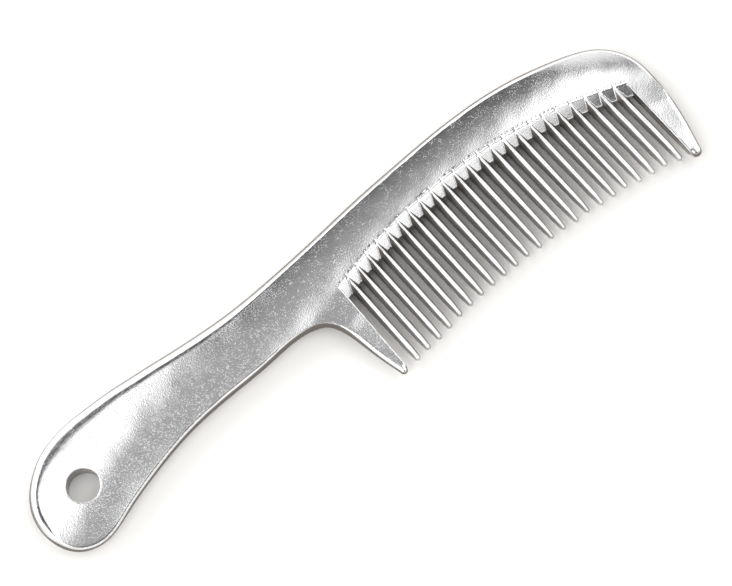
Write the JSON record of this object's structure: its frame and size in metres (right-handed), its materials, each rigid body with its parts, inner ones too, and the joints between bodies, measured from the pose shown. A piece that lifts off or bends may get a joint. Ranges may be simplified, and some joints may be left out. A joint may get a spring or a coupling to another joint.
{
  "type": "mane comb",
  "caption": "One-piece cast aluminium mane comb for horses, with a paddle handle and hang hole, a curved spine, slim parallel teeth and a broad guard tooth at each end.",
  "frame": {"origin": "on the hang hole's axis, on the parting plane halfway through the thickness", "axes": "+X along the comb from the handle to the tip, +Y towards the back of the comb, opposite the teeth, +Z out of a broad face along the hang hole's axis"},
  "size_m": [0.2124, 0.0555, 0.006],
  "materials": {
    "cast_aluminium": "tumble-polished casting"
  },
  "bodies": {
    "root": {"handle": "cast_aluminium", "spine": "cast_aluminium", "heel_guard": "cast_aluminium", "tip_guard": "cast_aluminium", "tooth_01": "cast_aluminium", "tooth_02": "cast_aluminium", "tooth_03": "cast_aluminium", "tooth_04": "cast_aluminium", "tooth_05": "cast_aluminium", "tooth_06": "cast_aluminium", "tooth_07": "cast_aluminium", "tooth_08": "cast_aluminium", "tooth_09": "cast_aluminium", "tooth_10": "cast_aluminium", "tooth_11": "cast_aluminium", "tooth_12": "cast_aluminium", "tooth_13": "cast_aluminium", "tooth_14": "cast_aluminium", "tooth_15": "cast_aluminium", "tooth_16": "cast_aluminium", "tooth_17": "cast_aluminium", "tooth_18": "cast_aluminium", "tooth_19": "cast_aluminium", "tooth_20": "cast_aluminium", "tooth_21": "cast_aluminium", "tooth_22": "cast_aluminium", "tooth_23": "cast_aluminium"}
  },
  "joints": []
}
